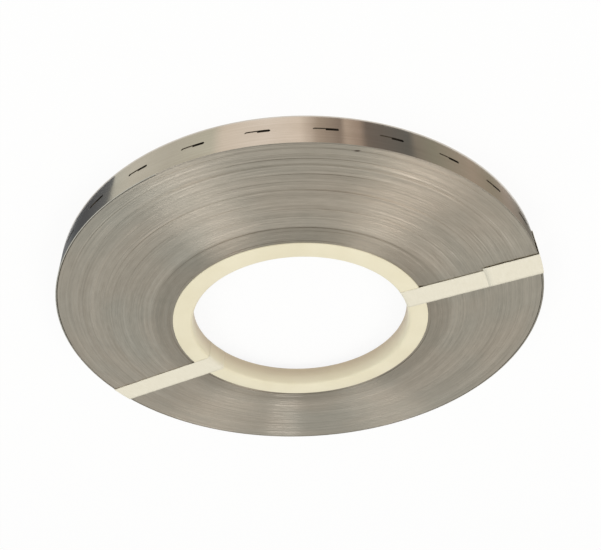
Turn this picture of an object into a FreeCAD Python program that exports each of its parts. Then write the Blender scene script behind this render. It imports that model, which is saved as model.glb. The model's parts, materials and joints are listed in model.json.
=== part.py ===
import FreeCAD, Part

import math
import os

from FreeCAD import Vector

# A flat roll of slotted nickel plated strip, wound on a plastic core and held by
# two bands of paper tape. All sizes are in millimetres and all angles in degrees.
# The roll lies on its side: +Z is the winding axis, and z = 0 is the floor.

# Strip and winding
coil_outer_d = 186.0        # over the outermost turn
strip_width = 12.0          # slit width, which is the roll's height
strip_thickness = 0.2       # one turn
turn_line_pitch = 3.6       # between the lines where one lay of turns meets the next
turn_line_width = 0.3
turn_line_depth = 0.25

# Slots punched along the strip's centre line
slot_pitch = 20.2           # along the strip
slot_length = 7.7
slot_height = 1.0
slot_turns = 3              # turns that a slot may let one see through
strip_end_angle = -160.3    # where the outermost turn ends, under the overlapped tape
first_slot_lead = 14.0      # from the strip's end to the middle of its first slot

# Core, flush with the winding's upper end
core_bore_d = 85.0
core_wall = 7.5
core_short = 3.0            # how much narrower than the strip it is
core_edge_r = 1.2           # rounding of both bore edges
winding_gap = 0.05          # between the core and the first turn

# Tape
tape_thickness = 0.14
tape_gap = 0.02             # between the tape and what it wraps
tape_width = 10.0
left_band_angle = 27.5      # direction that the band runs outwards
left_band_side = 3.2        # how far its middle line passes from the axis
right_band_angle = -159.0
right_band_side = 1.7
overlap_length = 19.5       # how far in from the rim the right band's loose end reaches
overlap_side = 1.4          # sideways slip of that second layer

coil_outer_r = coil_outer_d / 2
core_bore_r = core_bore_d / 2
core_outer_r = core_bore_r + core_wall
coil_inner_r = core_outer_r + winding_gap
z_bottom = tape_gap + tape_thickness
z_top = z_bottom + strip_width
z_core_bottom = z_bottom + core_short
up = Vector(0, 0, 1)


def section_point(radius, height):
    """A point of a section in the XZ plane."""
    return Vector(radius, 0, height)


def polar_point(radius, angle, height):
    """A point at a radius and an angle about the winding axis."""
    turn = math.radians(angle)
    return Vector(radius * math.cos(turn), radius * math.sin(turn), height)


def turned(wire):
    """The solid of revolution of a closed section about the winding axis."""
    return Part.Face(wire).revolve(Vector(0, 0, 0), up, 360)


def rounded_outline(corners):
    """A closed wire through (radius, height, rounding) corners of a section."""
    count = len(corners)
    ends = []
    for index, (radius, height, rounding) in enumerate(corners):
        corner = section_point(radius, height)
        before = section_point(*corners[index - 1][:2])
        after = section_point(*corners[(index + 1) % count][:2])
        if rounding == 0:
            ends.append((corner, None, corner))
            continue
        to_before = (before - corner).normalize()
        to_after = (after - corner).normalize()
        half = to_before.getAngle(to_after) / 2
        setback = rounding / math.tan(half)
        inward = (to_before + to_after).normalize()
        middle = corner + inward * (rounding / math.sin(half) - rounding)
        ends.append((corner + to_before * setback, middle, corner + to_after * setback))
    edges = []
    for index, (start, middle, end) in enumerate(ends):
        if middle is not None:
            edges.append(Part.Arc(start, middle, end).toShape())
        following = ends[(index + 1) % count][0]
        edges.append(Part.makeLine(end, following))
    return Part.Wire(edges)


def turn_line_radii():
    """Radii of the shallow lines between lays of turns, evenly spread over the face."""
    face = coil_outer_r - coil_inner_r
    count = int(face / turn_line_pitch)
    step = face / count
    return [coil_inner_r + step * number for number in range(1, count)]


def coil_outline():
    """The winding's section, with its turn lines sunk into both ends."""
    half = turn_line_width / 2
    upper = []
    lower = []
    for radius in turn_line_radii():
        for offset, depth in ((-half, 0), (0, turn_line_depth), (half, 0)):
            upper.append(section_point(radius + offset, z_top - depth))
            lower.append(section_point(radius + offset, z_bottom + depth))
    points = [section_point(coil_inner_r, z_bottom)] + lower
    points += [section_point(coil_outer_r, z_bottom), section_point(coil_outer_r, z_top)]
    points += upper[::-1] + [section_point(coil_inner_r, z_top)]
    return Part.makePolygon(points + points[:1])


def arc_edge(radius, start, end, height):
    """An arc about the winding axis."""
    middle = (start + end) / 2
    points = [polar_point(radius, angle, height) for angle in (start, middle, end)]
    return Part.Arc(*points).toShape()


def sector(inner_r, outer_r, start, end):
    """A block as high as a slot, between two radii and two angles."""
    z_low = z_bottom + (strip_width - slot_height) / 2
    edges = [
        arc_edge(inner_r, start, end, z_low),
        Part.makeLine(polar_point(inner_r, end, z_low), polar_point(outer_r, end, z_low)),
        arc_edge(outer_r, end, start, z_low),
        Part.makeLine(polar_point(outer_r, start, z_low), polar_point(inner_r, start, z_low)),
    ]
    return Part.Face(Part.Wire(edges)).extrude(up * slot_height)


def turn_length(turn):
    """The length of strip in one turn, counted inwards from 0."""
    return 2 * math.pi * (coil_outer_r - strip_thickness * (turn + 0.5))


def slot_windows():
    """For each turn, the stretch of a slot that is open from outside, from its leading end.

    The punching pitch doesn't divide a turn's length, so the slots of each deeper turn
    lie further along, and less and less of them shows through the turns above.
    """
    start = 0
    end = slot_length
    lag = 0
    windows = []
    for turn in range(slot_turns):
        if end - start < strip_thickness:
            break
        windows.append((start, end))
        lag += slot_pitch - turn_length(turn) % slot_pitch
        lag -= slot_pitch * round(lag / slot_pitch)
        start = max(start, lag)
        end = min(end, lag + slot_length)
    return windows


def slot_cutter(middle_angle):
    """A pocket with one step for each turn that the slot lets one see through."""
    leading = middle_angle + math.degrees(slot_length / 2 / coil_outer_r)
    blocks = []
    for turn, (start, end) in enumerate(slot_windows()):
        inner_r = coil_outer_r - strip_thickness * (turn + 1)
        outer_r = coil_outer_r + strip_thickness
        angles = [leading - math.degrees(length / coil_outer_r) for length in (start, end)]
        blocks.append(sector(inner_r, outer_r, *angles))
    return blocks[0].multiFuse(blocks[1:]).removeSplitter() if len(blocks) > 1 else blocks[0]


def slot_angles():
    """The middle of each slot in the outermost turn, counted back from its end."""
    first = strip_end_angle - math.degrees(first_slot_lead / coil_outer_r)
    step = math.degrees(slot_pitch / coil_outer_r)
    count = int((turn_length(0) - first_slot_lead - slot_length / 2) / slot_pitch) + 1
    return [first - step * number for number in range(count)]


def strip_coil():
    """The wound strip: one turned solid with turn lines and the outer turn's slots."""
    cutters = [slot_cutter(angle) for angle in slot_angles()]
    return turned(coil_outline()).cut(Part.makeCompound(cutters))


def core_ring():
    """The plastic core, with both bore edges rounded."""
    corners = [
        (core_bore_r, z_core_bottom, core_edge_r),
        (core_outer_r, z_core_bottom, 0),
        (core_outer_r, z_top, 0),
        (core_bore_r, z_top, core_edge_r),
    ]
    return turned(rounded_outline(corners))


def wrap_solid(offset):
    """What a taut band encloses: core and winding together, grown by an offset."""
    corners = [
        (core_bore_r, z_core_bottom, core_edge_r),
        (coil_inner_r, z_bottom, 0),
        (coil_outer_r, z_bottom, 0),
        (coil_outer_r, z_top, 0),
        (core_bore_r, z_top, core_edge_r),
    ]
    return turned(rounded_outline(corners).makeOffset2D(offset, 0))


def band_box(angle, side, start_r):
    """The straight strip of space that a band runs in, out from a radius."""
    reach = coil_outer_r + tape_width
    height = strip_width + tape_width
    corner = Vector(start_r, side - tape_width / 2, z_bottom - tape_width / 2)
    box = Part.makeBox(reach - start_r, tape_width, height, corner)
    box.rotate(Vector(0, 0, 0), up, angle)
    return box


def tape_layer(number, angle, side, start_r):
    """One layer of tape round the winding; layer 0 lies on the strip."""
    inner = tape_gap + tape_thickness * number
    shell = wrap_solid(inner + tape_thickness).cut(wrap_solid(inner))
    return shell.common(band_box(angle, side, start_r))


def tape_band_left():
    """A closed single band."""
    return tape_layer(0, left_band_angle, left_band_side, 0)


def tape_band_right():
    """A closed band whose end laps over itself, from the face to half way down the rim."""
    closed = tape_layer(0, right_band_angle, right_band_side, 0)
    side = right_band_side + overlap_side
    lap = tape_layer(1, right_band_angle, side, coil_outer_r - overlap_length)
    reach = coil_outer_r + tape_width
    below = Part.makeCylinder(reach, z_bottom + strip_width / 2 + tape_width, up * -tape_width)
    return closed.fuse(lap.cut(below)).removeSplitter()


def main():
    os.makedirs("parts", exist_ok=True)
    pieces = {
        "strip_coil": strip_coil(),
        "core_ring": core_ring(),
        "tape_band_left": tape_band_left(),
        "tape_band_right": tape_band_right(),
    }
    for name, shape in pieces.items():
        if len(shape.Solids) != 1 or not shape.isValid():
            raise ValueError(f"{name} is not one valid solid")
        shape = shape.Solids[0]
        shape.exportStep(f"parts/{name}.step")
        print(f"{name}: {shape.Volume:.1f} mm3, {shape.BoundBox}")


main()
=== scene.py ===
import json
import logging
import math
import random
from dataclasses import dataclass, field
from enum import Enum
from typing import Union

import bmesh
import bpy
from mathutils import Matrix, Vector, noise


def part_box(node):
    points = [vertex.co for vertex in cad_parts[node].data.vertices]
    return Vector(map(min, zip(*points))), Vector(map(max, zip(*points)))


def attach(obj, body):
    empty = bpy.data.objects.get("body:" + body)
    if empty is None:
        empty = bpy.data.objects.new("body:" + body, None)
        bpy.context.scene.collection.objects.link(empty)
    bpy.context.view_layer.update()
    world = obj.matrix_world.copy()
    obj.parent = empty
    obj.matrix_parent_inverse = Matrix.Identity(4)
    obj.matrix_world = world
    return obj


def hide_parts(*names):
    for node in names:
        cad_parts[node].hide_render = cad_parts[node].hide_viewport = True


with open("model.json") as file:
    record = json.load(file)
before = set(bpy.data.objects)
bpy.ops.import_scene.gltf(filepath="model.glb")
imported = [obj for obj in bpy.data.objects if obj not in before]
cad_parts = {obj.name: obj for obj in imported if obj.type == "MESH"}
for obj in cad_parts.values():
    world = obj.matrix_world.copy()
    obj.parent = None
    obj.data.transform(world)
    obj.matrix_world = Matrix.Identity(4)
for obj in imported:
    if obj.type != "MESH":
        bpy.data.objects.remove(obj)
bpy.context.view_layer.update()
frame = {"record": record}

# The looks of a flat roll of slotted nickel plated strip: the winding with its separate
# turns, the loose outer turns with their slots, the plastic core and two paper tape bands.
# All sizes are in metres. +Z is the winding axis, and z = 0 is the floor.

log = logging.getLogger("strip_roll")

MM = 0.001
NEAR_SIDE = (0.0, -1.0, 0.0)

Colour = tuple[float, float, float]
Number = Union[float, "Socket"]


# ---------------------------------------------------------------------------- shader maths


class Socket:
    """An output socket that adds Math nodes when it is calculated with."""

    def __init__(self, graph: "Graph", link: bpy.types.NodeSocket) -> None:
        """Wraps a socket.

        Args:
            graph: The graph that the socket is in.
            link: The output socket.
        """
        self.graph = graph
        self.link = link

    def __add__(self, other: Number) -> "Socket":
        """Adds."""
        return self.graph.math("ADD", self, other)

    def __radd__(self, other: Number) -> "Socket":
        """Adds, from the right."""
        return self.graph.math("ADD", other, self)

    def __sub__(self, other: Number) -> "Socket":
        """Subtracts."""
        return self.graph.math("SUBTRACT", self, other)

    def __rsub__(self, other: Number) -> "Socket":
        """Subtracts, from the right."""
        return self.graph.math("SUBTRACT", other, self)

    def __mul__(self, other: Number) -> "Socket":
        """Multiplies."""
        return self.graph.math("MULTIPLY", self, other)

    def __rmul__(self, other: Number) -> "Socket":
        """Multiplies, from the right."""
        return self.graph.math("MULTIPLY", other, self)


class Graph:
    """A node tree, in which one method makes every kind of node."""

    def __init__(self, name: str, world: bool = False) -> None:
        """Makes an empty material or world.

        Args:
            name: Its name.
            world: Whether it is the world.
        """
        self.material = (bpy.data.worlds if world else bpy.data.materials).new(name)
        self.material.use_nodes = True
        self.tree = self.material.node_tree
        self.tree.nodes.clear()

    def node(self, kind: str, settings: dict | None = None, sockets: dict | None = None) -> bpy.types.Node:
        """Makes a node, sets it up and fills its inputs.

        Args:
            kind: The node's type, without the ShaderNode prefix.
            settings: Attributes of the node.
            sockets: Values or sockets for its inputs, by name or number.

        Returns:
            The node.
        """
        made = self.tree.nodes.new("ShaderNode" + kind)
        for name, value in (settings or {}).items():
            setattr(made, name, value)
        for name, value in (sockets or {}).items():
            target = made.inputs[name]
            if isinstance(value, Socket):
                self.tree.links.new(value.link, target)
            elif target.type == "RGBA":
                target.default_value = (*value, 1.0)
            else:
                target.default_value = value
        return made

    def out(self, made: bpy.types.Node, name: str | int = 0) -> Socket:
        """Returns one of a node's outputs."""
        return Socket(self, made.outputs[name])

    def math(self, operation: str, *values: Number) -> Socket:
        """Adds a Math node.

        Args:
            operation: Its operation.
            *values: Its operands.

        Returns:
            The result.
        """
        return self.out(self.node("Math", {"operation": operation}, dict(enumerate(values))))

    def vector(self, operation: str, sockets: dict, result: str = "Vector") -> Socket:
        """Adds a Vector Math node.

        Args:
            operation: Its operation.
            sockets: Its inputs.
            result: The output to return.

        Returns:
            The result.
        """
        return self.out(self.node("VectorMath", {"operation": operation}, sockets), result)

    def combine(self, x: Number, y: Number, z: Number) -> Socket:
        """Joins three numbers into a vector."""
        return self.out(self.node("CombineXYZ", None, {0: x, 1: y, 2: z}))

    def noise(self, where: Socket, scale: float = 1.0, detail: float = 2.0, roughness: float = 0.5) -> Socket:
        """Samples noise.

        Args:
            where: The coordinates.
            scale: The noise's scale.
            detail: The number of octaves.
            roughness: How strong the finer octaves are.

        Returns:
            A value of about 0 to 1.
        """
        sockets = {"Vector": where, "Scale": scale, "Detail": detail, "Roughness": roughness}
        return self.out(self.node("TexNoise", None, sockets))

    def spread(
        self, value: Socket, low: float, high: float, to_low: float = 0.0, to_high: float = 1.0
    ) -> Socket:
        """Maps a range to another and clamps it.

        Args:
            value: What is mapped.
            low: The value that becomes to_low.
            high: The value that becomes to_high.
            to_low: The result at low.
            to_high: The result at high.

        Returns:
            The mapped value.
        """
        sockets = {"Value": value, "From Min": low, "From Max": high, "To Min": to_low, "To Max": to_high}
        return self.out(self.node("MapRange", {"clamp": True}, sockets))

    def mix(self, factor: Number, first: Colour | Socket, second: Colour | Socket) -> Socket:
        """Mixes two colours.

        Args:
            factor: 0 for the first, 1 for the second.
            first: The first colour.
            second: The second colour.

        Returns:
            The mixed colour.
        """
        made = self.node("Mix", {"data_type": "RGBA"}, {0: factor, 6: first, 7: second})
        return self.out(made, 2)

    def bump(self, height: Socket, strength: float, distance: float) -> Socket:
        """Turns a height into a normal.

        Args:
            height: The height, from 0 to 1.
            strength: The bump's strength.
            distance: The height's size in metres.

        Returns:
            The normal.
        """
        sockets = {"Height": height, "Strength": strength, "Distance": distance}
        return self.out(self.node("Bump", None, sockets))

    def surface(self, shader: bpy.types.Node) -> bpy.types.Material:
        """Ends the material in a shader and returns it."""
        self.node("OutputMaterial", None, {"Surface": self.out(shader)})
        return self.material

    def principled(self, sockets: dict) -> bpy.types.Material:
        """Ends the material in a Principled shader with these inputs and returns it."""
        return self.surface(self.node("BsdfPrincipled", None, sockets))


class PolarPlace:
    """Places on the object by their radius, direction and height about the winding axis."""

    def __init__(self, graph: Graph) -> None:
        """Adds the nodes.

        Args:
            graph: The graph to add them to.
        """
        self.graph = graph
        self.place = graph.out(graph.node("TexCoord"), "Object")
        parts = graph.node("SeparateXYZ", None, {0: self.place})
        self.height = graph.out(parts, 2)
        flat = graph.combine(graph.out(parts, 0), graph.out(parts, 1), 0.0)
        self.radius = graph.vector("LENGTH", {0: flat}, "Value")
        self.direction = graph.vector("NORMALIZE", {0: flat})

    def along(self, radial: float, around: float, axial: float = 0.0) -> Socket:
        """Coordinates for a pattern drawn out round the axis, with no seam.

        Args:
            radial: Pattern units for each metre of radius.
            around: Pattern units for each radian.
            axial: Pattern units for each metre of height.

        Returns:
            The coordinates.
        """
        turned = self.graph.vector("SCALE", {0: self.direction, "Scale": around})
        risen = self.graph.combine(0.0, 0.0, self.radius * radial + self.height * axial)
        return self.graph.vector("ADD", {0: turned, 1: risen})


# -------------------------------------------------------------------------------- finishes


@dataclass(frozen=True)
class SlitEdgeFinish:
    """The ends of the winding: slit edges side by side, satin and finely streaked."""

    bright: Colour = (0.580, 0.515, 0.440)
    bright_cool: Colour = (0.545, 0.502, 0.436)
    dull: Colour = (0.445, 0.390, 0.326)
    dull_cool: Colour = (0.402, 0.374, 0.322)
    inner: Colour = (0.280, 0.245, 0.200)
    roughness: float = 0.30
    anisotropy: float = 1.0
    inner_fade: tuple[float, float] = (60.0 * MM, 56.5 * MM)
    ring: float = 57.5 * MM
    scuff: tuple[float, float, float] = (-18.2 * MM, -88.9 * MM, 12.1 * MM)
    scuff_stretch: tuple[float, float, float] = (0.35, 1.0, 1.0)
    scuff_colour: Colour = (0.15, 0.12, 0.10)

    def material(self) -> bpy.types.Material:
        """Builds the material."""
        graph = Graph("slit_edges")
        polar = PolarPlace(graph)
        turns = graph.noise(polar.along(2300.0, 1.3), 1.0, 2.0)
        lays = graph.noise(polar.along(420.0, 0.9), 1.0, 3.0)
        streaks = graph.noise(polar.along(900.0, 14.0), 1.0, 2.0)
        tone = turns * 0.45 + lays * 0.3 + streaks * 0.25
        cast = graph.spread(graph.noise(polar.along(38.0, 1.6), 1.0, 2.0), 0.38, 0.62)
        bright = graph.mix(cast, self.bright, self.bright_cool)
        dull = graph.mix(cast, self.dull, self.dull_cool)
        metal = graph.mix(graph.spread(tone, 0.34, 0.66), dull, bright)
        inner = graph.spread(polar.radius + lays * 2.0 * MM, *self.inner_fade, 0.0, 0.42)
        metal = graph.mix(inner, metal, self.inner)
        # Painted shade: on the side towards the camera, a narrow ring at the ring radius darkens to the inner
        # colour, the shadow of the sunk line there.
        facing = graph.vector("DOT_PRODUCT", {0: polar.direction, 1: NEAR_SIDE}, "Value")
        near = graph.spread(facing, -0.2, 0.6)
        from_ring = graph.math("ABSOLUTE", polar.radius - self.ring)
        ring = graph.spread(from_ring, 0.2 * MM, 0.8 * MM, 0.55, 0.0)
        metal = graph.mix(ring * near * graph.spread(lays, 0.3, 0.6, 0.5, 1.0), metal, self.inner)
        spot = tuple(place * scale for place, scale in zip(self.scuff, self.scuff_stretch))
        squeezed = graph.vector("MULTIPLY", {0: polar.place, 1: self.scuff_stretch})
        away = graph.vector("DISTANCE", {0: squeezed, 1: spot}, "Value")
        marked = graph.mix(graph.spread(away, 0.2 * MM, 0.42 * MM), self.scuff_colour, metal)
        roughness = graph.spread(tone, 0.3, 0.7, self.roughness + 0.06, self.roughness - 0.04)
        return graph.principled(
            {
                "Base Color": marked,
                "Metallic": 1.0,
                "Roughness": roughness,
                "Anisotropic": self.anisotropy,
                "Anisotropic Rotation": 0.25,
                "Normal": graph.bump(turns * 0.6 + streaks * 0.4, 0.3, 0.00006),
            }
        )


@dataclass(frozen=True)
class PlatedFinish:
    """The strip's own faces: bright nickel with rolling lines along it."""

    name: str = "nickel_plate"
    colour: Colour = (0.660, 0.610, 0.545)
    smudge: Colour = (0.560, 0.505, 0.435)
    roughness: float = 0.16

    def material(self) -> bpy.types.Material:
        """Builds the material."""
        graph = Graph(self.name)
        polar = PolarPlace(graph)
        lines = graph.noise(polar.along(0.0, 1.5, 5000.0), 1.0, 3.0)
        patches = graph.noise(polar.along(0.0, 5.0, 150.0), 1.0, 3.0)
        waves = graph.noise(polar.along(0.0, 7.0, 60.0), 1.0, 1.0)
        worn = lines * 0.5 + patches * 0.5
        return graph.principled(
            {
                "Base Color": graph.mix(graph.spread(worn, 0.4, 0.7), self.colour, self.smudge),
                "Metallic": 1.0,
                "Roughness": graph.spread(worn, 0.3, 0.7, self.roughness, self.roughness + 0.1),
                "Normal": graph.bump(waves * 0.9 + lines * 0.1, 0.2, 0.0005),
            }
        )


@dataclass(frozen=True)
class DeepStripPaintedShade:
    """The strip's faces down in the slots as painted shade: a dark, randomly mottled strip face."""

    colour: Colour = (0.085, 0.072, 0.058)
    mottled_shade: Colour = (0.140, 0.122, 0.100)

    def material(self) -> bpy.types.Material:
        """Builds the material."""
        graph = Graph("deep_strip_painted_shade")
        polar = PolarPlace(graph)
        mottle = graph.noise(polar.along(0.0, 30.0, 500.0), 1.0, 3.0)
        return graph.principled(
            {
                "Base Color": graph.mix(graph.spread(mottle, 0.35, 0.7), self.colour, self.mottled_shade),
                "Metallic": 1.0,
                "Roughness": graph.spread(mottle, 0.3, 0.7, 0.4, 0.6),
            }
        )


@dataclass(frozen=True)
class CorePlasticFinish:
    """The core: ivory plastic with faint tool marks, and painted shade down its bore."""

    colour: Colour = (0.835, 0.775, 0.600)
    shade: Colour = (0.790, 0.725, 0.545)
    painted_bore_shade: Colour = (0.500, 0.400, 0.290)
    bore: float = 43.6 * MM

    def material(self) -> bpy.types.Material:
        """Builds the material."""
        graph = Graph("core_plastic")
        polar = PolarPlace(graph)
        cloud = graph.noise(polar.place, 70.0, 3.0)
        marks = graph.noise(polar.along(1800.0, 3.0, 1800.0), 1.0, 2.0)
        face = graph.mix(graph.spread(cloud, 0.35, 0.7), self.colour, self.shade)
        # Painted shade: the bore wall darkens towards the bottom.
        down = graph.spread(polar.height + cloud * 2.0 * MM, 12.6 * MM, 6.0 * MM)
        inside = graph.spread(polar.radius, self.bore, self.bore - 0.6 * MM)
        return graph.principled(
            {
                "Base Color": graph.mix(down * inside * 0.8, face, self.painted_bore_shade),
                "Roughness": graph.spread(marks, 0.3, 0.7, 0.40, 0.52),
                "Normal": graph.bump(marks, 0.15, 0.00006),
            }
        )


@dataclass(frozen=True)
class PaperTapeFinish:
    """The bands: matt crepe paper tape, its ribs lying across the band."""

    along: float
    colour: Colour = (0.820, 0.775, 0.660)
    fibre: Colour = (0.780, 0.735, 0.615)

    def material(self) -> bpy.types.Material:
        """Builds the material."""
        graph = Graph("paper_tape")
        place = graph.out(graph.node("TexCoord"), "Object")
        laid = graph.out(graph.node("Mapping", None, {"Vector": place, "Rotation": (0.0, 0.0, -self.along)}))
        ribs = graph.noise(graph.vector("MULTIPLY", {0: laid, 1: (1500.0, 260.0, 1500.0)}), 1.0, 3.0, 0.6)
        fibres = graph.noise(laid, 700.0, 4.0, 0.6)
        crepe = ribs * 0.6 + fibres * 0.4
        paper = graph.mix(graph.spread(crepe, 0.35, 0.65), self.fibre, self.colour)
        polar = PolarPlace(graph)
        # Inside the bore the tape takes the core's colour, with the same painted shade towards the bottom.
        inside = graph.spread(polar.radius, 44.2 * MM, 42.6 * MM)
        down = graph.spread(polar.height, 12.0 * MM, 10.0 * MM)
        lower = graph.spread(polar.height, 11.6 * MM, 5.0 * MM)
        core = graph.mix(lower * 0.8, CorePlasticFinish.colour, CorePlasticFinish.painted_bore_shade)
        return graph.principled(
            {
                "Base Color": graph.mix(inside * down * 0.85, paper, core),
                "Roughness": 0.8,
                "Normal": graph.bump(crepe, 0.35, 0.00010),
            }
        )


@dataclass(frozen=True)
class FloorFinish:
    """A plain white floor that keeps the roll's shadow."""

    colour: Colour = (0.92, 0.92, 0.92)
    even: float = 0.90

    def material(self) -> bpy.types.Material:
        """Builds the material."""
        graph = Graph("studio_floor")
        rays = graph.node("LightPath")
        seen = graph.math("MAXIMUM", graph.out(rays, "Is Camera Ray"), graph.out(rays, "Is Glossy Ray"))
        seen = graph.math("MAXIMUM", seen, graph.out(rays, "Is Transmission Ray"))
        matt = graph.node("BsdfDiffuse", None, {"Color": self.colour})
        glow = graph.node("Emission", None, {"Color": (1.0, 1.0, 1.0), "Strength": 1.0})
        mixed = graph.node("MixShader", None, {0: seen * self.even, 1: graph.out(matt), 2: graph.out(glow)})
        return graph.surface(mixed)


@dataclass(frozen=True)
class CardFinish:
    """A studio card that shades from tone to tone, as its colour attribute says."""

    name: str
    attribute: str

    def material(self) -> bpy.types.Material:
        """Builds the material."""
        graph = Graph(self.name)
        tone = graph.out(graph.node("Attribute", {"attribute_name": self.attribute}), "Color")
        return graph.surface(graph.node("Emission", None, {"Color": tone, "Strength": 1.0}))


# ---------------------------------------------------------------------------------- shapes


@dataclass(frozen=True)
class RollSizes:
    """The roll's sizes, as the frame has them."""

    outer_radius: float
    core_radius: float
    bore_radius: float
    bottom: float
    top: float
    core_bottom: float

    @classmethod
    def from_frame(cls) -> "RollSizes":
        """Reads the sizes off the frame's boxes and its bore mount."""
        coil_low, coil_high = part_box("strip_coil")
        core_low, core_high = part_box("core_ring")
        bore = next(m for m in frame["record"]["mounts"] if m["name"] == "core_bore")
        return cls(
            outer_radius=coil_high.x,
            core_radius=core_high.x,
            bore_radius=bore["dims"]["r_mm"] * MM,
            bottom=coil_low.z,
            top=coil_high.z,
            core_bottom=core_low.z,
        )


def smooth_step(value: float) -> float:
    """Eases a share from 0 to 1."""
    value = min(max(value, 0.0), 1.0)
    return value * value * (3.0 - 2.0 * value)


def hump(angle: float, middle: float, reach: float) -> float:
    """A smooth hump of 1 at a middle direction, down to 0 at a reach each side.

    Args:
        angle: The direction, in radians.
        middle: The hump's middle, in degrees.
        reach: How far it reaches, in degrees.

    Returns:
        The hump's height.
    """
    apart = abs((math.degrees(angle) - middle + 180.0) % 360.0 - 180.0)
    return smooth_step(1.0 - apart / reach)


def place_piece(bm: bmesh.types.BMesh, name: str, sharp: float, materials: list) -> bpy.types.Object:
    """Makes a piece of the object from a finished bmesh.

    Args:
        bm: The shape, in its place.
        name: The piece's name.
        sharp: The angle in degrees past which an edge stays sharp.
        materials: Its materials, in the order of its faces' material numbers.

    Returns:
        The piece, riding on the root body.
    """
    mesh = bpy.data.meshes.new(name)
    bm.to_mesh(mesh)
    bm.free()
    for material in materials:
        mesh.materials.append(material)
    mesh.polygons.foreach_set("use_smooth", [True] * len(mesh.polygons))
    mesh.set_sharp_from_angle(angle=math.radians(sharp))
    piece = bpy.data.objects.new(name, mesh)
    bpy.context.scene.collection.objects.link(piece)
    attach(piece, "root")
    log.info("%s: %d faces", name, len(mesh.polygons))
    return piece


def lathe(bm: bmesh.types.BMesh, section: list[tuple[float, float]], steps: int) -> None:
    """Turns a closed section about the winding axis.

    Args:
        bm: The empty mesh to make it in.
        section: The section's (radius, height) corners, in order.
        steps: The number of steps round the axis.
    """
    chain = [bm.verts.new((radius, 0.0, height)) for radius, height in section]
    edges = [bm.edges.new((chain[index - 1], chain[index])) for index in range(len(chain))]
    bmesh.ops.spin(
        bm,
        geom=chain + edges,
        cent=(0.0, 0.0, 0.0),
        axis=(0.0, 0.0, 1.0),
        angle=2.0 * math.pi,
        steps=steps,
        use_merge=True,
    )
    bmesh.ops.recalc_face_normals(bm, faces=bm.faces)
    bm.normal_update()


@dataclass(frozen=True)
class SunkLine:
    """A line round the face where turns sit low: its place, size, and the arc that it spans."""

    radius: float
    width: float
    depth: float
    middle: float
    reach: float


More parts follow.
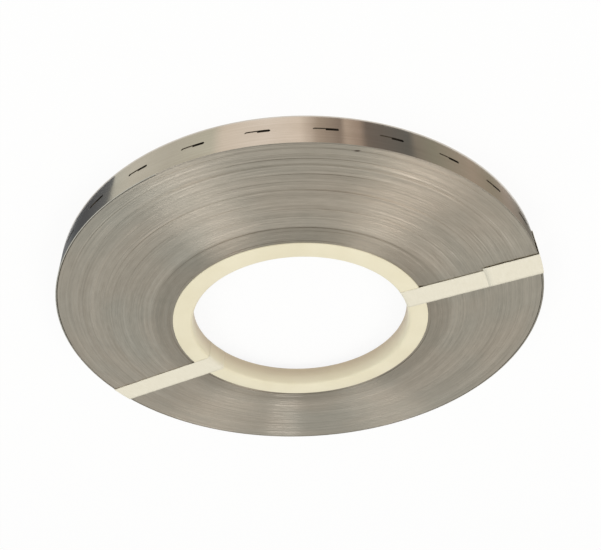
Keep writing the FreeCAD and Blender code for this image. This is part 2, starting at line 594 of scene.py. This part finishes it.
@dataclass
class WoundBody:
    """The tight turns of the winding, each with its own slit edge on the face."""

    sizes: RollSizes
    thickness: float = 0.2 * MM
    loose_turns: int = 3
    steps: int = 160
    line_gap: float = 0.012 * MM
    lower_pitch: float = 0.8 * MM
    low_radius: float = 51.0 * MM
    low_depth: float = 0.18 * MM
    rand: random.Random = field(default_factory=lambda: random.Random(41))
    lines: tuple[SunkLine, ...] = (
        SunkLine(50.9 * MM, 0.40 * MM, 0.40 * MM, -80.0, 120.0),
        SunkLine(57.3 * MM, 0.40 * MM, 0.14 * MM, -85.0, 85.0),
        SunkLine(66.0 * MM, 0.2 * MM, 0.12 * MM, -105.0, 50.0),
        SunkLine(69.4 * MM, 0.2 * MM, 0.10 * MM, -60.0, 45.0),
        SunkLine(74.0 * MM, 0.2 * MM, 0.16 * MM, -100.0, 55.0),
        SunkLine(77.6 * MM, 0.2 * MM, 0.10 * MM, -70.0, 45.0),
        SunkLine(80.6 * MM, 0.2 * MM, 0.13 * MM, -95.0, 50.0),
        SunkLine(82.6 * MM, 0.2 * MM, 0.12 * MM, -75.0, 50.0),
        SunkLine(84.2 * MM, 0.2 * MM, 0.15 * MM, -80.0, 55.0),
        SunkLine(86.6 * MM, 0.2 * MM, 0.14 * MM, -95.0, 50.0),
        SunkLine(88.4 * MM, 0.2 * MM, 0.16 * MM, -70.0, 50.0),
        SunkLine(90.6 * MM, 0.2 * MM, 0.16 * MM, -90.0, 60.0),
    )

    def __post_init__(self) -> None:
        """Works out the turns and how they lie."""
        self.inner = self.sizes.core_radius + 0.05 * MM
        self.outer = self.sizes.outer_radius - self.thickness * (self.loose_turns + 1)
        self.turns = round((self.outer - self.inner) / self.thickness)
        self.jitter = [self.rand.uniform(-0.03, 0.0) * MM for _ in range(self.turns)]
        self.lay: list[float] = []
        while len(self.lay) < self.turns:
            self.lay += [self.rand.uniform(-0.12, -0.02) * MM] * self.rand.randint(4, 14)

    def edge_height(self, turn: int, angle: float) -> float:
        """The height of a turn's upper edge.

        Args:
            turn: The turn, counted outwards from 0 at the core.
            angle: The direction from the axis, in radians.

        Returns:
            The height in metres.
        """
        near = 0.3 + 0.7 * hump(angle, -85.0, 130.0)
        wander = noise.noise(Vector((turn * 0.29, 1.5 * math.cos(angle), 1.5 * math.sin(angle))))
        drop = (self.lay[turn] + wander * 0.07 * MM - 0.04 * MM) * near + self.jitter[turn]
        radius = self.inner + turn * self.thickness
        for line in self.lines:
            if line.radius <= radius < line.radius + line.width:
                where = Vector((line.radius * 9000.0, 3.0 * math.cos(angle), 3.0 * math.sin(angle)))
                share = min(max(0.65 + 1.1 * noise.noise(where), 0.15), 1.0)
                drop -= line.depth * hump(angle, line.middle, line.reach) * share
        if radius < self.low_radius:
            drop -= self.low_depth
        return self.sizes.top + min(drop, 0.0)

    def section(self) -> list[tuple[float, float]]:
        """The closed section: every turn above, coarser rings below."""
        above = []
        for turn in range(self.turns):
            start = self.inner + turn * self.thickness
            above.append((start + self.line_gap, self.sizes.top))
            above.append((start + self.thickness - self.line_gap, self.sizes.top))
        rings = round((self.outer - self.inner) / self.lower_pitch)
        pitch = (self.outer - self.inner) / rings
        below = []
        for ring in range(rings):
            height = self.sizes.bottom + self.rand.uniform(0.0, 0.12) * MM
            start = self.inner + ring * pitch
            below += [(start + self.line_gap, height), (start + pitch - self.line_gap, height)]
        return above + below[::-1]

    def build(self, materials: list[bpy.types.Material]) -> bpy.types.Object:
        """Builds the body.

        Args:
            materials: The slit edges' material, and painted shade: a dark strip face for the body's walls.

        Returns:
            The piece.
        """
        bm = bmesh.new()
        lathe(bm, self.section(), self.steps)
        middle = (self.sizes.top + self.sizes.bottom) / 2.0
        # Painted shade on the walls, which the loose turns cover and the slots show.
        for face in bm.faces:
            wall = abs(face.normal.z) < 0.3 and abs(face.calc_center_median().z - middle) < 3.0 * MM
            face.material_index = 1 if wall else 0
        for vert in bm.verts:
            if vert.co.z > middle:
                turn = min(int((vert.co.xy.length - self.inner) / self.thickness), self.turns - 1)
                vert.co.z = self.edge_height(turn, math.atan2(vert.co.y, vert.co.x))
        piece = place_piece(bm, "wound_body", 30.0, materials)
        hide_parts("strip_coil")
        return piece


@dataclass
class LooseTurns:
    """The outer turns as one spiral of real strip with its slots punched through."""

    sizes: RollSizes
    pitch: float = 0.2 * MM
    thickness: float = 0.16 * MM
    turns: int = 3
    end_angle: float = math.radians(-160.3)
    slot_pitch: float = 20.2 * MM
    slot_length: float = 7.7 * MM
    slot_height: float = 1.0 * MM
    first_slot: float = 14.0 * MM
    proud: float = 0.29 * MM
    slip_middle: float = -30.0
    slip_reach: float = 42.0
    edge_band: float = 0.1 * MM

    def cell(self) -> bmesh.types.BMesh:
        """One flat pitch of strip round its slot, X along it and Y across it."""
        bm = bmesh.new()
        half, rise, width = self.slot_length / 2.0, self.slot_height / 2.0, self.sizes.top - self.sizes.bottom
        columns = [0.5 * self.slot_pitch, 7.4 * MM, half + 0.4 * MM, half, half - 1.1 * rise, 1.3 * MM]
        columns = [-column for column in columns] + columns[::-1]
        rows = [0.0, 2.4 * MM, width / 2.0 - rise, width / 2.0 - 0.6 * rise, width / 2.0]
        rows += [width - row for row in rows[-2::-1]]
        bmesh.ops.create_grid(bm, x_segments=len(columns) - 1, y_segments=len(rows) - 1, size=1.0)
        for vert in bm.verts:
            column = round((vert.co.x + 1.0) / 2.0 * (len(columns) - 1))
            row = round((vert.co.y + 1.0) / 2.0 * (len(rows) - 1))
            vert.co.x, vert.co.y = columns[column], rows[row]
        centres = [(face, face.calc_center_median()) for face in bm.faces]
        open_faces = [face for face, at in centres if abs(at.x) < half and abs(at.y - width / 2.0) < rise]
        bmesh.ops.delete(bm, geom=open_faces, context="FACES")
        for vert in bm.verts:
            off = abs(vert.co.y - width / 2.0)
            if abs(abs(vert.co.x) - half) < 1e-7 and off < rise + 1e-7:
                rounding = rise - math.sqrt(max(rise * rise - off * off, 0.0))
                vert.co.x = math.copysign(half - rounding * 0.9, vert.co.x)
        return bm

    def flat_strip(self) -> bmesh.types.BMesh:
        """The whole loose strip, flat, cut off at both ends and given its thickness."""
        middles = [self.sizes.outer_radius - self.pitch * (turn + 0.5) for turn in range(self.turns)]
        length = sum(2.0 * math.pi * middle for middle in middles)
        bm = self.cell()
        bmesh.ops.translate(bm, verts=bm.verts, vec=(self.first_slot, 0.0, 0.0))
        first = list(bm.verts) + list(bm.edges) + list(bm.faces)
        for number in range(-1, math.ceil(length / self.slot_pitch) + 1):
            if number == 0:
                continue
            copied = bmesh.ops.duplicate(bm, geom=first)["geom"]
            moved = [item for item in copied if isinstance(item, bmesh.types.BMVert)]
            bmesh.ops.translate(bm, verts=moved, vec=(number * self.slot_pitch, 0.0, 0.0))
        bmesh.ops.remove_doubles(bm, verts=bm.verts, dist=1e-6)
        for place, out in ((0.0, -1.0), (length, 1.0)):
            bmesh.ops.bisect_plane(
                bm,
                geom=list(bm.verts) + list(bm.edges) + list(bm.faces),
                dist=1e-7,
                plane_co=(place, 0.0, 0.0),
                plane_no=(out, 0.0, 0.0),
                clear_outer=True,
            )
        bmesh.ops.recalc_face_normals(bm, faces=bm.faces)
        whole = list(bm.verts) + list(bm.edges) + list(bm.faces)
        bmesh.ops.solidify(bm, geom=whole, thickness=self.thickness)
        low = min(vert.co.z for vert in bm.verts)
        bmesh.ops.translate(bm, verts=bm.verts, vec=(0.0, 0.0, -low))
        bm.normal_update()
        return bm

    def turn_at(self, along: float) -> tuple[float, float, float]:
        """Finds where a distance along the strip comes to lie.

        Args:
            along: The distance from the free end.

        Returns:
            The turn, counted inwards from 0 at the free end, the direction from the axis in
            radians, and how far the free turn has slipped upwards there, from 0 to 1.
        """
        middle = self.sizes.outer_radius - self.pitch / 2.0
        left = math.sqrt(middle * middle - self.pitch / math.pi * along)
        turn = (middle - left) / self.pitch
        angle = self.end_angle - 2.0 * math.pi * turn
        return turn, angle, hump(angle, self.slip_middle, self.slip_reach)

    def wind(self, flat: Vector) -> Vector:
        """Winds a place on the flat strip into the roll.

        Args:
            flat: Its distance from the free end, its height on the strip and its depth.

        Returns:
            The place in the roll.
        """
        turn, angle, out = self.turn_at(flat.x)
        radius = self.sizes.outer_radius - self.pitch * turn - flat.z
        lift = self.proud * out * smooth_step(1.25 - turn) - 0.05 * MM * (1.0 - out) * (turn % 1.0)
        height = self.sizes.bottom + flat.y + lift
        return Vector((radius * math.cos(angle), radius * math.sin(angle), height))

    def build(self, materials: list[bpy.types.Material]) -> bpy.types.Object:
        """Builds the loose turns.

        Args:
            materials: The slit edges, the strip's face, painted shade for its faces down in the
            winding, and a painted highlight for the edge of the free turn where it has slipped.

        Returns:
            The piece.
        """
        bm = self.flat_strip()
        width = self.sizes.top - self.sizes.bottom
        for face in bm.faces:
            at = face.calc_center_median()
            turn, _, out = self.turn_at(at.x)
            # Painted shade: the slot walls and the turns from the third inwards get the dark strip face.
            face.material_index = 1 if turn < 2.0 and abs(face.normal.z) > 0.5 else 2
            if at.y < self.edge_band or at.y > width - self.edge_band:
                # Where the free turn has slipped up, the edges of the two outer turns get a painted highlight
                # and the edge of the turn inside them painted shade.
                face.material_index = (3 if turn < 1.95 else 2) if out > 0.12 else 0
        for vert in bm.verts:
            vert.co = self.wind(vert.co)
        bmesh.ops.recalc_face_normals(bm, faces=bm.faces)
        piece = place_piece(bm, "loose_turns", 40.0, materials)
        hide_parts("strip_coil")
        return piece


@dataclass
class Core:
    """The plastic core, with eased edges and a moulding line round its bore."""

    sizes: RollSizes
    edge: float = 1.2 * MM
    ease: float = 0.25 * MM
    steps: int = 144
    rounding: int = 6

    def section(self) -> list[tuple[float, float]]:
        """The core's closed section."""
        bore, rim = self.sizes.bore_radius, self.sizes.core_radius
        low, high, edge, ease = self.sizes.core_bottom, self.sizes.top, self.edge, self.ease
        turns = [math.pi / 2.0 * step / self.rounding for step in range(self.rounding + 1)]
        points = [(bore + edge - edge * math.cos(t), high - edge + edge * math.sin(t)) for t in turns]
        points += [(rim - ease, high), (rim - 0.3 * ease, high - 0.3 * ease), (rim, high - ease)]
        points += [(rim, low + ease), (rim - ease, low)]
        points += [(bore + edge - edge * math.sin(t), low + edge - edge * math.cos(t)) for t in turns]
        seam = (low + high) / 2.0
        return points + [(bore, seam - 0.15 * MM), (bore - 0.03 * MM, seam), (bore, seam + 0.15 * MM)]

    def build(self, plastic: bpy.types.Material) -> bpy.types.Object:
        """Builds the core.

        Args:
            plastic: Its material.

        Returns:
            The piece.
        """
        bm = bmesh.new()
        lathe(bm, self.section(), self.steps)
        piece = place_piece(bm, "plastic_core", 50.0, [plastic])
        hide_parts("core_ring")
        return piece


class BandPlace(Enum):
    """Where the bands lie: CAD name, direction in degrees, sideways shift, and length of lap."""

    LEFT = ("tape_band_left", 27.5, 3.2 * MM, 0.0)
    RIGHT = ("tape_band_right", -159.0, 1.7 * MM, 19.5 * MM)


@dataclass
class TapeBand:
    """A band of paper tape round the winding and core, with a lapped end on one of them."""

    sizes: RollSizes
    place: BandPlace
    width: float = 10.0 * MM
    thickness: float = 0.14 * MM
    gap: float = 0.02 * MM
    lap_side: float = 0.7 * MM
    lap_width: float = 11.3 * MM
    lap_taper: float = 2.0 * MM
    lap_sink: float = 0.45
    edge: float = 1.2 * MM
    columns: int = 10

    def path(self, offset: float) -> list[tuple[float, float]]:
        """The section line that the tape follows, over the face, down the rim and back below.

        Args:
            offset: How far outside the roll it runs.

        Returns:
            Its (radius, height) points, all the way round.
        """
        s, edge, reach = self.sizes, self.edge, self.edge + offset
        knee = s.bore_radius + edge
        turns = [math.pi / 8.0 * step for step in range(5)]
        points = [(knee - reach * math.cos(t), s.top - edge + reach * math.sin(t)) for t in turns]
        run = s.outer_radius - knee
        points += [(knee + run * step / 26.0, s.top + offset) for step in range(1, 27)]
        points += [(s.outer_radius + 0.7 * offset, s.top + 0.7 * offset)]
        tall = s.top - s.bottom
        points += [(s.outer_radius + offset, s.top - tall * step / 6.0) for step in range(7)]
        points += [(s.outer_radius + 0.7 * offset, s.bottom - 0.7 * offset)]
        under = s.outer_radius - s.core_radius
        points += [(s.outer_radius - under * step / 18.0, s.bottom - offset) for step in range(19)]
        points += [(knee - reach * math.sin(t), s.core_bottom + edge - reach * math.cos(t)) for t in turns]
        return points

    def sheet(
        self, points: list[tuple[float, float]], side: float, width: float, seed: float
    ) -> bmesh.types.BMesh:
        """Lays a strip of tape along a path.

        Args:
            points: The path's (radius, height) points.
            side: How far its middle line passes from the axis.
            width: The strip's width.
            seed: What sets its creases apart from another layer's.

        Returns:
            The layer, facing outwards.
        """
        bm = bmesh.new()
        bmesh.ops.create_grid(bm, x_segments=len(points) - 1, y_segments=self.columns, size=1.0)
        for vert in bm.verts:
            radius, height = points[round((vert.co.x + 1.0) / 2.0 * (len(points) - 1))]
            share = vert.co.y
            across = side + share * width / 2.0
            ragged = 0.12 * MM * noise.noise(Vector((radius * 900.0, height * 900.0, share * 2.0 + seed)))
            out = math.sqrt(radius * radius - across * across)
            if height > self.sizes.top:
                crease = noise.noise(Vector((radius * 260.0, across * 420.0, seed)))
                height += 0.05 * MM * max(crease, 0.0)
            vert.co = Vector((out, across + ragged * abs(share) ** 3, height))
        bmesh.ops.remove_doubles(bm, verts=bm.verts, dist=1e-6)
        bmesh.ops.recalc_face_normals(bm, faces=bm.faces)
        if max(bm.faces, key=lambda face: face.calc_center_median().z).normal.z < 0.0:
            bmesh.ops.reverse_faces(bm, faces=bm.faces)
        turn = Matrix.Rotation(math.radians(self.place.value[1]), 3, "Z")
        bmesh.ops.rotate(bm, verts=bm.verts, cent=(0.0, 0.0, 0.0), matrix=turn)
        return bm

    def build(self) -> list[bpy.types.Object]:
        """Builds the band and its lap, and returns the pieces."""
        name, direction, side, lap = self.place.value
        paper = PaperTapeFinish(along=math.radians(direction)).material()
        whole = self.path(self.gap)
        layers = [(whole + whole[:1], side, self.width, name + "_paper")]
        if lap:
            start = self.sizes.outer_radius - lap
            low = (self.sizes.top + self.sizes.bottom) / 2.0 - 0.1 * MM
            offset = self.gap + self.thickness
            flat = start + self.lap_taper
            run = [point for point in self.path(offset) if point[0] > flat and point[1] >= low]
            run.insert(0, (start, self.sizes.top + offset - self.lap_sink * self.thickness))
            layers.append((run, side + self.lap_side, self.lap_width, name + "_lap"))
        pieces = []
        for number, (points, shift, width, title) in enumerate(layers):
            piece = place_piece(self.sheet(points, shift, width, direction), title, 50.0, [paper])
            wall = piece.modifiers.new("wall", "SOLIDIFY")
            wall.thickness, wall.offset = self.thickness / (1.0 + number), 1.0
            thin = piece.vertex_groups.new(name="full_thickness")
            for vert in piece.data.vertices:
                reach = (vert.co.xy.length - self.sizes.bore_radius) / self.edge
                thin.add([vert.index], 0.2 + 0.8 * smooth_step(reach), "REPLACE")
            wall.vertex_group, wall.thickness_vertex_group = thin.name, 0.0
            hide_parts(name)
            pieces.append(piece)
        return pieces


# ---------------------------------------------------------------------------------- studio


@dataclass
class Studio:
    """The floor, the light, the card that the rim mirrors, and the camera."""

    sizes: RollSizes
    distance: float = 2.9927 * 93.0 * MM
    elevation: float = 0.618
    roll: float = 3.1091
    lens: float = 42.19
    shift: tuple[float, float] = (-0.0006, 0.0904)

    def eye(self) -> Vector:
        """Where the camera stands."""
        back = Vector((0.0, -math.cos(self.elevation), math.sin(self.elevation)))
        return back * self.distance + Vector((0.0, 0.0, self.sizes.top))

    def camera(self) -> None:
        """Makes the camera."""
        back = (self.eye() - Vector((0.0, 0.0, self.sizes.top))).normalized()
        level = (-back).cross(Vector((0.0, 0.0, 1.0))).normalized()
        rise = level.cross(-back)
        right = math.cos(self.roll) * level + math.sin(self.roll) * rise
        up = -math.sin(self.roll) * level + math.cos(self.roll) * rise
        data = bpy.data.cameras.new("camera")
        data.lens, data.sensor_width, data.sensor_fit = self.lens, 36.0, "HORIZONTAL"
        data.shift_x, data.shift_y = self.shift
        data.clip_start, data.clip_end = 0.01, 20.0
        camera = bpy.data.objects.new("camera", data)
        turned = Matrix((right, up, back)).transposed().to_4x4()
        camera.matrix_world = Matrix.Translation(self.eye()) @ turned
        bpy.context.scene.collection.objects.link(camera)
        bpy.context.scene.camera = camera

    def floor(self) -> None:
        """Makes the floor."""
        bm = bmesh.new()
        bmesh.ops.create_grid(bm, x_segments=1, y_segments=1, size=4.0)
        self.stage_piece(bm, "floor", FloorFinish().material())

    @staticmethod
    def stage_piece(bm: bmesh.types.BMesh, name: str, material: bpy.types.Material) -> bpy.types.Object:
        """Makes a piece of the stage.

        Args:
            bm: Its shape.
            name: Its name.
            material: Its material.

        Returns:
            The piece.
        """
        mesh = bpy.data.meshes.new(name)
        bm.to_mesh(mesh)
        bm.free()
        mesh.materials.append(material)
        made = bpy.data.objects.new(name, mesh)
        bpy.context.scene.collection.objects.link(made)
        return made

    def mirrored(self, angle: float, reach: float) -> Vector:
        """A place on the floor that the rim mirrors to the camera.

        Args:
            angle: The direction of the rim's mirroring line, in degrees.
            reach: How far the place is from the rim.

        Returns:
            The place, just above the floor.
        """
        out = Vector((math.cos(math.radians(angle)), math.sin(math.radians(angle)), 0.0))
        foot = out * (self.sizes.outer_radius + 0.3 * MM)
        sight = self.eye() - foot
        sight.z = 0.0
        sight.normalize()
        beam = 2.0 * sight.dot(out) * out - sight
        return foot + beam * reach + Vector((0.0, 0.0, 0.05 * MM))

    def rim_card(self, tones: list[tuple[float, Colour]]) -> None:
        """Lays a toned card in front of the rim, seen only in the metal.

        Args:
            tones: The directions, in degrees, at which the rim mirrors each tone. The card
                shades from one to the next, and a direction given twice is a sharp edge.
        """
        bm = bmesh.new()
        layer = bm.verts.layers.float_color.new("tone")
        for (start, first), (end, second) in zip(tones, tones[1:]):
            if end - start < 0.01:
                continue
            parts = max(1, round((end - start) / 2.0))
            for vert in bmesh.ops.create_grid(bm, x_segments=parts, y_segments=1, size=1.0)["verts"]:
                share = (vert.co.x + 1.0) / 2.0
                vert[layer] = (*(a + (b - a) * share for a, b in zip(first, second)), 1.0)
                vert.co = self.mirrored(start + (end - start) * share, 0.0 if vert.co.y < 0.0 else 45.0 * MM)
        card = self.stage_piece(bm, "rim_card", CardFinish("card_tones", "tone").material())
        card.visible_camera = False
        card.visible_diffuse = False
        card.visible_shadow = False
        card.visible_transmission = False

    def world(self, strength: float) -> None:
        """Makes the even light of the room, at a strength."""
        graph = Graph("room", world=True)
        way = graph.node("SeparateXYZ", None, {0: graph.out(graph.node("TexCoord"), "Generated")})
        side = graph.spread(graph.out(way, 0), -0.35, 0.45)
        air = graph.mix(side, (1.0, 0.985, 0.92), (0.91, 0.95, 0.93))
        light = graph.node("Background", None, {"Color": air, "Strength": strength})
        white = graph.node("Background", None, {"Color": (1.0, 1.0, 1.0), "Strength": 1.0})
        seen = graph.out(graph.node("LightPath"), "Is Camera Ray")
        mixed = graph.node("MixShader", None, {0: seen, 1: graph.out(light), 2: graph.out(white)})
        graph.node("OutputWorld", None, {"Surface": graph.out(mixed)})
        bpy.context.scene.world = graph.material

    def lamp(
        self, name: str, azimuth: float, elevation: float, size: tuple[float, float], power: float
    ) -> None:
        """Hangs a soft box that faces the roll.

        Args:
            name: Its name.
            azimuth: Its direction from the roll, in degrees from +X.
            elevation: Its height above the horizon, in degrees.
            size: Its width and height.
            power: Its power in watts.
        """
        data = bpy.data.lights.new(name, "AREA")
        data.shape, data.size, data.size_y = "RECTANGLE", *size
        data.energy, data.color = power, (1.0, 0.955, 0.91)
        lamp = bpy.data.objects.new(name, data)
        side, rise = math.radians(azimuth), math.radians(elevation)
        away = Vector((math.cos(side) * math.cos(rise), math.sin(side) * math.cos(rise), math.sin(rise)))
        lamp.location = away * 1.2
        lamp.rotation_mode = "QUATERNION"
        lamp.rotation_quaternion = away.to_track_quat("Z", "Y")
        bpy.context.scene.collection.objects.link(lamp)

    def build(self) -> None:
        """Sets the studio up."""
        self.camera()
        self.floor()
        self.world(0.70)
        self.lamp("key", -28.0, 50.0, (0.6, 0.6), 3.4)
        self.lamp("second", -158.0, 52.0, (0.6, 0.6), 3.1)
        self.lamp("back", 87.4, 12.0, (0.08, 0.08), 0.20)
        self.rim_card(
            [
                (-160.0, (0.34, 0.32, 0.29)),
                (-153.0, (0.26, 0.25, 0.22)),
                (-148.0, (0.18, 0.17, 0.15)),
                (-143.0, (0.33, 0.30, 0.26)),
                (-138.0, (0.43, 0.37, 0.32)),
                (-133.0, (0.36, 0.33, 0.26)),
                (-127.0, (0.46, 0.39, 0.32)),
                (-117.0, (0.34, 0.33, 0.27)),
                (-113.5, (0.32, 0.29, 0.25)),
                (-112.0, (0.17, 0.17, 0.16)),
                (-103.5, (0.22, 0.19, 0.17)),
                (-102.0, (0.47, 0.38, 0.32)),
                (-99.5, (0.61, 0.51, 0.43)),
                (-98.5, (0.34, 0.28, 0.24)),
                (-94.5, (0.52, 0.44, 0.37)),
                (-91.0, (0.95, 0.85, 0.76)),
                (-85.0, (1.00, 0.92, 0.85)),
                (-77.0, (0.92, 0.84, 0.75)),
                (-74.5, (0.69, 0.69, 0.60)),
                (-66.0, (0.64, 0.63, 0.56)),
                (-57.0, (0.72, 0.71, 0.64)),
                (-51.0, (0.62, 0.63, 0.57)),
                (-51.0, (0.16, 0.17, 0.18)),
                (-42.0, (0.10, 0.105, 0.115)),
                (-36.0, (0.11, 0.12, 0.13)),
                (-33.0, (0.20, 0.21, 0.22)),
                (-20.0, (0.19, 0.20, 0.21)),
            ]
        )


def main() -> None:
    """Builds the roll and its studio."""
    logging.basicConfig(level=logging.INFO, format="%(name)s %(message)s")
    sizes = RollSizes.from_frame()
    Studio(sizes).build()
    # The third finish is painted shade, a dark strip face for the slots and the winding's walls.
    edges, plate, painted_shade = SlitEdgeFinish().material(), PlatedFinish().material(), DeepStripPaintedShade().material()
    # A brighter copy of the strip's face, painted highlight for the slipped edge of the free turn.
    bright = PlatedFinish(
        name="painted_highlight_edge", colour=(0.68, 0.65, 0.59), smudge=(0.58, 0.55, 0.49), roughness=0.4
    )
    painted_highlight = bright.material()
    pieces = [WoundBody(sizes).build([edges, painted_shade]), LooseTurns(sizes).build([edges, plate, painted_shade, painted_highlight])]
    pieces.append(Core(sizes).build(CorePlasticFinish().material()))
    for place in BandPlace:
        pieces += TapeBand(sizes, place).build()
    log.info("pieces: %s", ", ".join(piece.name for piece in pieces))
    bpy.context.scene.view_settings.view_transform = "Standard"
    bpy.context.view_layer.update()


if __name__ == "__main__":
    main()
